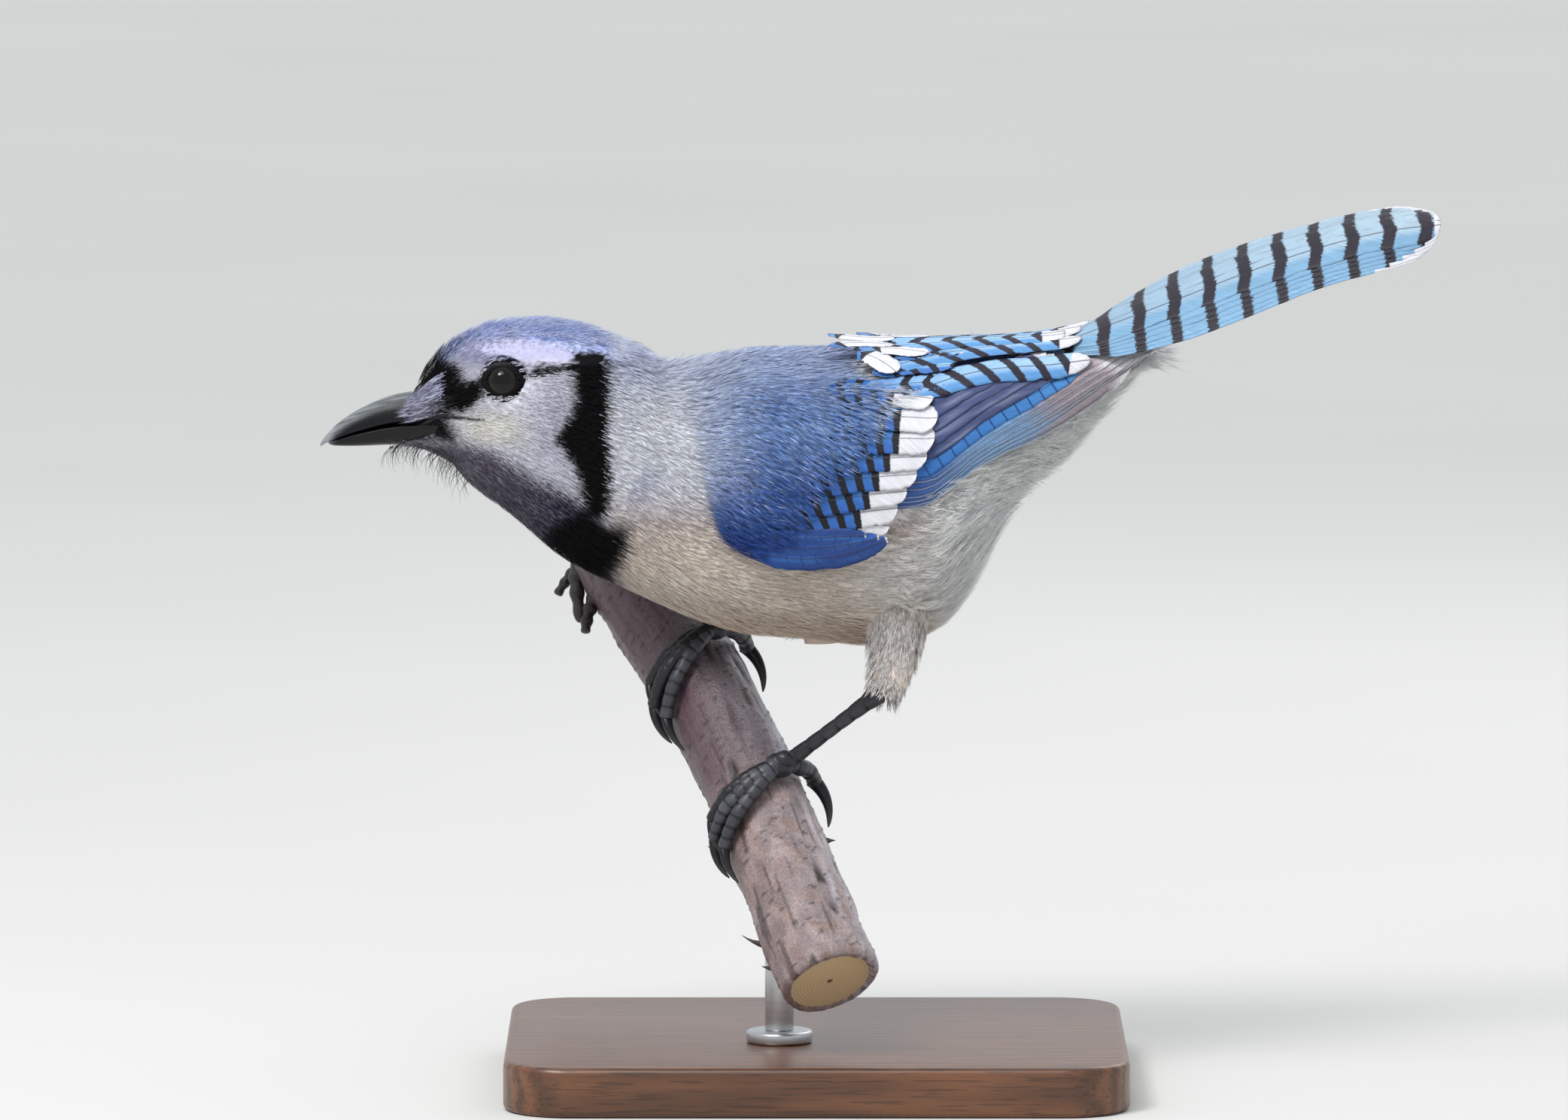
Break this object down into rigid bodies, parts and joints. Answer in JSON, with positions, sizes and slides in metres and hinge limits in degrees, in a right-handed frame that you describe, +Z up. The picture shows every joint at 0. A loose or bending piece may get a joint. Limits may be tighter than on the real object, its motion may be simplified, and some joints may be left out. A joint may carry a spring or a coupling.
{
  "type": "blue jay on a perch",
  "caption": "Life-size still model of a blue jay leaning forward, gripping a cut length of branch held on a flat display stand.",
  "frame": {"origin": "centre of the stand base's underside", "axes": "+Z up; the bird faces -X, with its left side towards -Y"},
  "size_m": [0.2704, 0.124, 0.2133],
  "materials": {
    "face_feathers": "soft pale lavender plumage with black line and bib edge",
    "crest_feathers": "periwinkle blue plumage",
    "neck_feathers": "pale blue-grey plumage with a black collar",
    "belly_feathers": "warm grey-buff plumage",
    "vent_feathers": "off-white plumage",
    "thigh_feathers": "pale grey plumage",
    "wing_feathers": "blue flight feathers barred black, tipped white",
    "tail_feathers": "sky blue feathers barred black, tipped white",
    "leg_scales": "dark grey scaled skin",
    "horn": "glossy black horn",
    "claw_horn": "black horn",
    "eye": "wet dark brown",
    "bark": "smooth grey-brown bark with cracks",
    "base_wood": "satin varnished dark wood",
    "rod_steel": "satin"
  },
  "bodies": {
    "root": {"bill_lower": "horn", "bill_upper": "horn", "claw_left_hind": "claw_horn", "claw_left_inner": "claw_horn", "claw_left_middle": "claw_horn", "claw_left_outer": "claw_horn", "claw_right_hind": "claw_horn", "claw_right_inner": "claw_horn", "claw_right_middle": "claw_horn", "claw_right_outer": "claw_horn", "crest": "crest_feathers", "eye_left": "eye", "eye_right": "eye", "foot_left": "leg_scales", "foot_right": "leg_scales", "head": "face_feathers", "neck": "neck_feathers", "perch": "bark", "rump": "vent_feathers", "stand_base": "base_wood", "stand_collar": "rod_steel", "stand_rod": "rod_steel", "tail_left": "tail_feathers", "tail_middle": "tail_feathers", "tail_right": "tail_feathers", "tarsus_left": "leg_scales", "tarsus_right": "leg_scales", "thigh_left": "thigh_feathers", "thigh_right": "thigh_feathers", "trunk": "belly_feathers", "wing_left_alula": "wing_feathers", "wing_left_coverts": "wing_feathers", "wing_left_primaries": "wing_feathers", "wing_left_secondaries": "wing_feathers", "wing_left_shoulder": "wing_feathers", "wing_left_tertials": "wing_feathers", "wing_right_alula": "wing_feathers", "wing_right_coverts": "wing_feathers", "wing_right_primaries": "wing_feathers", "wing_right_secondaries": "wing_feathers", "wing_right_shoulder": "wing_feathers", "wing_right_tertials": "wing_feathers"}
  },
  "joints": []
}
